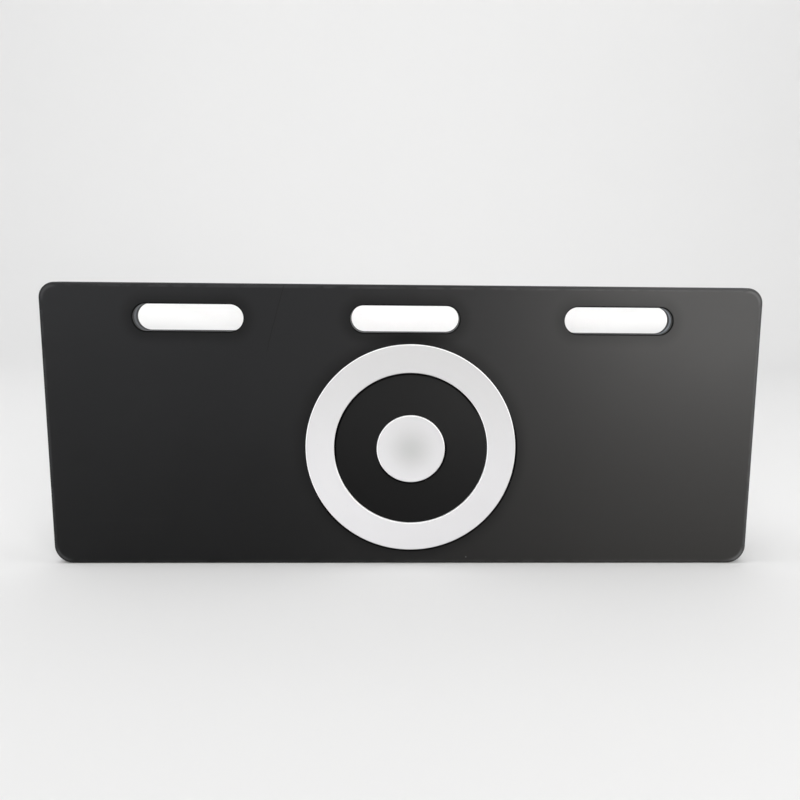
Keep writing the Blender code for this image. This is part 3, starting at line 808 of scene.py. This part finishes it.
def pinMesh(name):
    face = hinge["length"] / 2 + hinge["gap"]
    radius, height = hinge["pinHead"], hinge["pinHeadHeight"]
    dome = []
    for i in range(hinge["domeSteps"] + 1):
        turn = math.pi / 2 * i / hinge["domeSteps"]
        dome.append((radius * math.sin(turn), face + height * (0.25 + 0.75 * math.cos(turn))))
    upper = dome + [(radius, face), (hinge["pin"], face)]
    return turnedMesh(name, upper + [(r, -h) for r, h in reversed(upper)], hinge["pinSteps"])


print("hinges")
screwPoints = {}  # (kind of screw, body) to the place and aim of each
zincPlate = zincFinish("zincPlate", (0.60, 0.61, 0.62), (500.0, 500.0, 12.0))
pinSteel = zincFinish("pinSteel", (0.66, 0.66, 0.67), (30.0, 30.0, 900.0))
leaves = {"fixed": leafMesh("fixedLeaf", (0, 2, 4)), "moving": leafMesh("movingLeaf", (1, 3))}
pivotOffset = hinge["barrel"] + hinge["gap"]
plateTop = hinge["leaf"] - hinge["barrel"]
for label, side in sides.items():
    low = label.lower()
    turns = {
        "fixed": Euler((0, math.pi if side > 0 else 0, 0)),
        "moving": Euler((0 if side > 0 else math.pi, 0, math.pi / 2)),
    }
    for level, height in hinge["heights"].items():
        axis = Vector((side * (wing["innerX"] - pivotOffset), backY + pivotOffset, height))
        node = f"hinge_{low}_{level}"
        for kind, turn in turns.items():
            body = "board" if kind == "fixed" else f"wing_{low}"
            seat = Matrix.LocRotScale(axis, turn, None)
            leaf = leaves[kind].copy()
            leaf.transform(seat)
            name = f"{kind}Leaf{label}{level.title()}"
            addPiece(name, leaf, zincPlate, body, [f"{node}_{kind}_leaf"])
            aim = seat.to_3x3() @ Vector((0, 1, 0))
            for step in (-0.5, 0.5):
                head = seat @ Vector((hinge["screwReach"], plateTop, step * hinge["screwSpread"]))
                screwPoints.setdefault(("hinge", body), []).append((head, aim))
        pin = pinMesh("pin")
        pin.transform(Matrix.Translation(axis))
        addPiece(f"hingePin{label}{level.title()}", pin, pinSteel, "board", [f"{node}_pin"])


# The catches that hold a folded wing: a magnet in a case on the board, a keeper plate on the wing.
catch = {
    "z": 0.062,
    "screwSpread": 0.034,
    "edgeRound": 0.0012,
    "edgeBreak": 0.00018,
    "magnetSize": (0.009, 0.004, 0.019),
    "magnetRound": 0.00025,
    "pocketGap": 0.0003,
    "poleThickness": 0.0016,
    "poleProud": 0.0005,
    "poleGap": 0.00006,
    "poleRound": 0.0002,
    "caseScrew": (0.00175, 0.0032, 0.0135),
    "keeperCorner": 0.0026,
    "keeperScrew": (0.0015, 0.0027, 0.0112),
}


def catchFinish():
    finish = Finish("catchPlastic", specular=0.45)
    tone = finish.noise(60.0, 2.0)
    finish.set("Base Color", finish.mix(tone, (0.042, 0.042, 0.045), (0.062, 0.062, 0.066)))
    finish.set("Roughness", 0.46 + tone * 0.1)
    finish.set("Normal", finish.bump(finish.cells(1700.0), 0.00012, 0.5))
    return finish.material


def ferriteFinish():
    finish = Finish("ferrite", metallic=0.2)
    tone = finish.noise(500.0, 3.0, 0.6)
    finish.set("Base Color", finish.mix(tone, (0.07, 0.07, 0.075), (0.13, 0.13, 0.13)))
    finish.set("Roughness", 0.52 + tone * 0.16)
    finish.set("Normal", finish.bump(finish.noise(1800.0, 2.0), 0.00008, 0.6))
    return finish.material


print("catches")
catchPlastic = catchFinish()
ferrite = ferriteFinish()
for label, side in sides.items():
    low = label.lower()
    caseLow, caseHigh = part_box(f"catch_{low}_body")
    middle = (caseLow + caseHigh) / 2
    size = Vector(catch["magnetSize"])
    screwHeights = [catch["z"] + step * catch["screwSpread"] for step in (-0.5, 0.5)]
    heads = [Vector((middle.x, caseHigh.y, z)) for z in screwHeights]
    gap = catch["pocketGap"]
    pocketSize = (size.x + gap, 2 * size.y + gap, size.z + gap)
    cutters = [boxMesh("pocket", pocketSize, (middle.x, caseHigh.y, middle.z))]
    cutters += [countersink(catch["caseScrew"], head, (0, 1, 0)) for head in heads]
    case = boxMesh("catchCase", caseHigh - caseLow, middle, catch["edgeRound"])
    case = carvedMesh("catchCase", case, cutters, catch["edgeBreak"])
    addPiece(f"catchCase{label}", case, catchPlastic, "board", [f"catch_{low}_body"])
    screwPoints.setdefault(("catch", "board"), []).extend((head, Vector((0, 1, 0))) for head in heads)

    pole = catch["poleThickness"]
    center = Vector((middle.x, caseHigh.y - size.y / 2, middle.z))
    proud = catch["poleProud"]
    blockSize = Vector((size.x - 2 * pole, size.y - proud, size.z))
    block = boxMesh("magnet", blockSize, center - Vector((0, proud / 2, 0)), catch["magnetRound"], 2)
    addPiece(f"magnet{label}", block, ferrite, "board", [f"catch_{low}_magnet"])
    plates = []
    for step in (-0.5, 0.5):
        shift = Vector((step * (size.x - pole), 0, 0))
        plateSize = (pole - catch["poleGap"], size.y, size.z)
        plates.append(boxMesh("pole", plateSize, center + shift, catch["poleRound"], 2))
    addPiece(f"polePlates{label}", joinedMesh("poles", plates), zincPlate, "board", [])

    keeperLow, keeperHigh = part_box(f"keeper_{low}")
    middle = (keeperLow + keeperHigh) / 2
    faceX = keeperLow.x if side > 0 else keeperHigh.x
    heads = [Vector((faceX, middle.y, z)) for z in screwHeights]
    corners = [(keeperLow.y, keeperLow.z), (keeperHigh.y, keeperLow.z)]
    corners += [(keeperHigh.y, keeperHigh.z), (keeperLow.y, keeperHigh.z)]
    outline = cornerOutline(corners, [catch["keeperCorner"]] * 4, 8)
    shape = bmesh.new()
    rings = addWall(shape, outline, [(0, keeperLow.x), (0, keeperHigh.x)], facingSide)
    fillBetween(shape, [rings[0]])
    fillBetween(shape, [rings[1]])
    aim = Vector((-side, 0, 0))
    cutters = [countersink(catch["keeperScrew"], head, aim) for head in heads]
    keeper = carvedMesh("keeper", closedMesh(shape, "keeper"), cutters, catch["edgeBreak"])
    addPiece(f"keeper{label}", keeper, zincPlate, f"wing_{low}", [f"keeper_{low}"])
    screwPoints.setdefault(("keeper", f"wing_{low}"), []).extend((head, aim) for head in heads)


# The rubber feet under the wings' heels.
foot = {
    "edgeRound": 0.0010,
    "edgeBreak": 0.00015,
    "grooves": 6,
    "grooveWidth": 0.0014,
    "grooveDepth": 0.0007,
    "screwSink": 0.0016,
    "screw": (0.00175, 0.0032, 0.0160),
}


def rubberFinish():
    finish = Finish("footRubber", specular=0.35)
    dust = finish.noise(120.0, 4.0, 0.65).ramp(0.42, 0.72)
    finish.set("Base Color", finish.mix(dust * 0.55, (0.012, 0.012, 0.012), (0.055, 0.052, 0.048)))
    finish.set("Roughness", 0.78 + dust * 0.14)
    finish.set("Normal", finish.bump(finish.noise(1400.0, 3.0), 0.00012, 0.6))
    return finish.material


print("feet")
rubber = rubberFinish()
for label in sides:
    low = label.lower()
    footLow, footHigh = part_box(f"foot_{low}")
    size = footHigh - footLow
    middle = (footLow + footHigh) / 2
    cutters = []
    for i in range(foot["grooves"]):
        y = middle.y + (i - (foot["grooves"] - 1) / 2) * size.y / foot["grooves"]
        grooveSize = (2 * size.x, foot["grooveWidth"], 2 * foot["grooveDepth"])
        cutters.append(boxMesh("groove", grooveSize, (middle.x, y, 0)))
    head = Vector((middle.x, middle.y, foot["screwSink"]))
    down = Vector((0, 0, -1))
    cutters.append(countersink(foot["screw"], head, down, 0.004))
    block = boxMesh("footPad", size, middle, foot["edgeRound"], 3)
    pad = carvedMesh("footPad", block, cutters, foot["edgeBreak"])
    addPiece(f"footPad{label}", pad, rubber, f"wing_{low}", [f"foot_{low}"])
    screwPoints.setdefault(("foot", f"wing_{low}"), []).append((head, down))


# The screws: points that carry the way each head faces, made into screws by one node tree.
screw = {
    "rim": 0.00025,
    "recessLength": 1.18,  # the recess is sized by the head's radius
    "recessWidth": 0.27,
    "recessDepth": 0.42,
    "facets": 40,
    "seed": 7,
}


def blackOxideFinish():
    finish = Finish("blackOxide", metallic=0.9)
    rubbed = finish.noise(900.0, 3.0, 0.6).ramp(0.56, 0.70)
    color = finish.mix(rubbed * 0.6, (0.055, 0.055, 0.058), (0.28, 0.28, 0.28))
    # painted shade: the recess in each screw head is darker
    finish.set("Base Color", finish.mix(finish.recess() * 0.9, color, (0.01, 0.01, 0.01)))
    finish.set("Roughness", 0.34 + rubbed * 0.12)
    finish.set("Normal", finish.bump(finish.noise(2500.0, 2.0), 0.00003, 0.5))
    return finish.material


def screwTree():
    tree = bpy.data.node_groups.new("countersunkScrews", "GeometryNodeTree")
    kinds = {"Geometry": "Geometry", "Facets": "Int", "Seed": "Int", "Finish": "Material"}
    sizes = ("Head Radius", "Shank Radius", "Length", "Rim", "Recess Length", "Recess Width", "Recess Depth")
    kinds.update((name, "Float") for name in sizes)
    for name, kind in kinds.items():
        tree.interface.new_socket(name, in_out="INPUT", socket_type="NodeSocket" + kind)
    tree.interface.new_socket("Geometry", in_out="OUTPUT", socket_type="NodeSocketGeometry")
    take = tree.nodes.new("NodeGroupInput").outputs

    def add(kind, settings, sockets, output=0):
        made = tree.nodes.new(kind)
        for name, value in settings.items():
            setattr(made, name, value)
        for name, value in sockets.items():
            for part in value if isinstance(value, list) else [value]:
                if isinstance(part, bpy.types.NodeSocket):
                    tree.links.new(part, made.inputs[name])
                else:
                    made.inputs[name].default_value = part
        return made.outputs[output]

    def work(operation, first, second):
        return add("ShaderNodeMath", {"operation": operation}, {0: first, 1: second})

    def times(first, second):
        return work("MULTIPLY", first, second)

    def vector(x=0.0, y=0.0, z=0.0):
        return add("ShaderNodeCombineXYZ", {}, {"X": x, "Y": y, "Z": z})

    def lowered(mesh, depth):
        shift = vector(z=times(depth, -1.0))
        return add("GeometryNodeTransform", {}, {"Geometry": mesh, "Translation": shift})

    def cylinder(radius, height):
        sockets = {"Vertices": take["Facets"], "Radius": radius, "Depth": height}
        return add("GeometryNodeMeshCylinder", {}, sockets)

    headRadius, shankRadius = take["Head Radius"], take["Shank Radius"]
    cone = work("SUBTRACT", headRadius, shankRadius)  # a 90 degree countersink is as deep as it flares
    radii = {"Radius Top": headRadius, "Radius Bottom": shankRadius}
    flare = add("GeometryNodeMeshCone", {}, {"Vertices": take["Facets"], "Depth": cone, **radii})
    head = lowered(flare, work("ADD", cone, take["Rim"]))
    rim = lowered(cylinder(headRadius, times(take["Rim"], 1.02)), times(take["Rim"], 0.51))
    shankHeight = work("SUBTRACT", take["Length"], cone)
    shank = lowered(cylinder(shankRadius, shankHeight), times(work("ADD", take["Length"], cone), 0.5))
    solid = add("GeometryNodeMeshBoolean", {"operation": "UNION"}, {"Mesh 2": [head, rim, shank]})
    depth = times(take["Recess Depth"], 2.0)
    long, wide = take["Recess Length"], take["Recess Width"]
    barSizes = [vector(x, y, depth) for x, y in ((long, wide), (wide, long))]
    bars = [add("GeometryNodeMeshCube", {}, {"Size": size}) for size in barSizes]
    cut = {"Mesh 1": solid, "Mesh 2": bars}
    recessed = add("GeometryNodeMeshBoolean", {"operation": "DIFFERENCE"}, cut)
    position = add("GeometryNodeInputPosition", {}, {})
    flat = add("ShaderNodeVectorMath", {"operation": "MULTIPLY"}, {0: position, 1: (1, 1, 0)})
    outward = add("ShaderNodeVectorMath", {"operation": "LENGTH"}, {0: flat}, "Value")
    height = add("ShaderNodeSeparateXYZ", {}, {0: position}, "Z")
    within = work("LESS_THAN", outward, times(long, 0.51))
    below = work("LESS_THAN", height, -0.00002)
    marks = {"Geometry": recessed, "Name": "recess", "Value": times(within, below)}
    faces = {"data_type": "FLOAT", "domain": "FACE"}
    recessed = add("GeometryNodeStoreNamedAttribute", faces, marks)
    aim = add("GeometryNodeInputNamedAttribute", {"data_type": "FLOAT_VECTOR"}, {"Name": "aim"})
    facing = add("FunctionNodeAlignRotationToVector", {"axis": "Z"}, {"Vector": aim})
    spinSockets = {2: 0.0, 3: math.pi, "Seed": take["Seed"]}  # the least and the most of a number
    spin = add("FunctionNodeRandomValue", {"data_type": "FLOAT"}, spinSockets, 1)
    driven = add("FunctionNodeEulerToRotation", {}, {"Euler": vector(z=spin)})
    turned = {"Rotation": facing, "Rotate By": driven}
    way = add("FunctionNodeRotateRotation", {"rotation_space": "LOCAL"}, turned)
    sockets = {"Points": take["Geometry"], "Instance": recessed, "Rotation": way}
    placed = add("GeometryNodeInstanceOnPoints", {}, sockets)
    real = add("GeometryNodeRealizeInstances", {}, {"Geometry": placed})
    dressed = add("GeometryNodeSetMaterial", {}, {"Geometry": real, "Material": take["Finish"]})
    tree.links.new(dressed, tree.nodes.new("NodeGroupOutput").inputs[0])
    return tree


def makeScrews(tree, name, size, points, material):
    shank, head, length = size
    mesh = bpy.data.meshes.new("screwPoints")
    mesh.from_pydata([place for place, aim in points], [], [])
    aims = mesh.attributes.new("aim", "FLOAT_VECTOR", "POINT")
    aims.data.foreach_set("vector", [value for place, aim in points for value in aim])
    thing = newObject(name, mesh)
    modifier = thing.modifiers.new("screws", "NODES")
    modifier.node_group = tree
    values = {
        "Head Radius": head,
        "Shank Radius": shank,
        "Length": length,
        "Rim": screw["rim"],
        "Recess Length": head * screw["recessLength"],
        "Recess Width": head * screw["recessWidth"],
        "Recess Depth": head * screw["recessDepth"],
        "Facets": screw["facets"],
        "Seed": screw["seed"],
        "Finish": material,
    }
    for item in tree.interface.items_tree:
        if item.in_out == "INPUT" and item.name in values:
            modifier[item.identifier] = values[item.name]
    made = applyModifiers(thing)
    bpy.data.objects.remove(thing)
    return made


print("screws")
screws = screwTree()
zincHead = zincFinish("zincScrewHead", (0.64, 0.64, 0.65), (700.0, 700.0, 700.0), recessed=True)
blackOxide = blackOxideFinish()
kinds = {
    "hinge": (hinge["screw"], zincHead, "zinc_screw"),
    "catch": (catch["caseScrew"], blackOxide, "black_screw"),
    "keeper": (catch["keeperScrew"], blackOxide, "black_screw"),
    "foot": (foot["screw"], blackOxide, "black_screw"),
}
for (kind, body), points in screwPoints.items():
    size, material, slot = kinds[kind]
    nodes = [name for name in frame["nodes"] if "screw" in name and name.startswith(kind)]
    nodes = [name for name in nodes if frame["nodes"][name]["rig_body"] == body]
    name = f"{kind}Screws{body.title().replace('_', '')}"
    addPiece(name, makeScrews(screws, name, size, points, material), material, body, nodes)


# The camera, the floor and the light.
studio = {
    "camera": (0.0069, -1.1364, 0.4170),
    "yaw": 1.646,
    "pitch": 8.940,
    "roll": 0.560,
    "lens": 36.40,
    "shiftX": -0.0406,
    "floorHalf": 9.0,
    "floorFront": -8.0,
    "floorBack": 4.5,
    "bend": 2.0,
    "bendSteps": 24,
    "cornerSteps": 12,
    "wallHeight": 7.0,
    "floorColor": (0.82, 0.82, 0.82),
    "ambient": 0.03,
}
lights = {  # place, aim, width and height, watts, colour
    "overhead": ((0, 2.0, 5.0), (0, 2.0, 0), (14, 9), 216, (1, 1, 1)),
    "backWall": ((0, 0, 4.0), (0, 4.5, 2.0), (13, 2), 148, (1, 1, 1)),
    "frontFloor": ((-1.1, -1.1, 3.0), (-0.6, -0.7, 0), (4, 2), 43, (1, 1, 1)),
    "windowLeft": ((-3, -5, 1.0), (0, 0, 0.3), (3, 1.6), 52, (0.96, 0.98, 1)),
    "windowRight": ((1.6, -2.9, 0.5), (0.3, 0, 0.2), (1, 1), 66, (1, 0.985, 0.96)),
    "windowRightFar": ((1.6, -3.4, 0.7), (0.3, 0, 0.2), (1.4, 1), 20, (1, 0.985, 0.96)),
    "sideRight": ((1.8, -0.5, 1.2), (0.3, 0, 0.2), (1, 1), 4, (1, 1, 1)),
    "behindSlots": ((0, 1.2, 0.20), (0, 4.3, 0.18), (3.2, 0.06), 0.85, (1, 0.99, 0.96), 6),  # spread in degrees
}


def makeCamera():
    camera = bpy.data.objects.new("camera", bpy.data.cameras.new("camera"))
    bpy.context.scene.collection.objects.link(camera)
    look = Euler((math.radians(90 - studio["pitch"]), 0, math.radians(-studio["yaw"]))).to_matrix()
    look = look @ Matrix.Rotation(math.radians(studio["roll"]), 3, "Z")
    camera.matrix_world = Matrix.Translation(studio["camera"]) @ look.to_4x4()
    camera.data.lens = studio["lens"]
    camera.data.shift_x = studio["shiftX"]
    camera.data.clip_start = 0.02
    camera.data.clip_end = 100
    bpy.context.scene.camera = camera


def makeFloor():
    half, front, back = studio["floorHalf"], studio["floorFront"], studio["floorBack"]
    bend, steps = studio["bend"], studio["bendSteps"]
    corners = [(-half, front), (half, front), (half, back), (-half, back)]
    outline = cornerOutline(corners, [bend * 1.2] * 4, studio["cornerSteps"])
    profile = []
    for i in range(steps + 1):
        turn = math.pi / 2 * i / steps
        profile.append((bend * (math.sin(turn) - 1), bend * (1 - math.cos(turn))))
    shape = bmesh.new()
    rings = addWall(shape, outline, profile + [(0, studio["wallHeight"])], facingUp)
    fillBetween(shape, [rings[0]])
    mesh = bpy.data.meshes.new("floor")
    shape.to_mesh(mesh)
    shape.free()
    mesh.shade_smooth()
    floor = newObject("floor", mesh)
    finish = Finish("floorPaint", specular=0.1)
    finish.set("Base Color", (*studio["floorColor"], 1))
    finish.set("Roughness", 0.9)
    mesh.materials.append(finish.material)


def makeLight(name, place, aim, size, watts, color, spread=None):
    data = bpy.data.lights.new(name, "AREA")
    data.shape = "RECTANGLE"
    data.size, data.size_y = size
    data.energy = watts
    data.color = color
    light = bpy.data.objects.new(name, data)
    bpy.context.scene.collection.objects.link(light)
    light.location = place
    light.rotation_euler = (Vector(aim) - Vector(place)).to_track_quat("-Z", "Y").to_euler()
    if spread:
        data.spread = math.radians(spread)
        light.visible_camera = False


def makeWorld():
    world = bpy.data.worlds.new("studio")
    bpy.context.scene.world = world
    world.use_nodes = True
    background = world.node_tree.nodes["Background"]
    background.inputs["Color"].default_value = (1, 1, 1, 1)
    background.inputs["Strength"].default_value = studio["ambient"]


print("studio")
makeCamera()
makeFloor()
makeWorld()
for name, values in lights.items():
    makeLight(name, *values)
bpy.context.scene.view_settings.view_transform = "Standard"
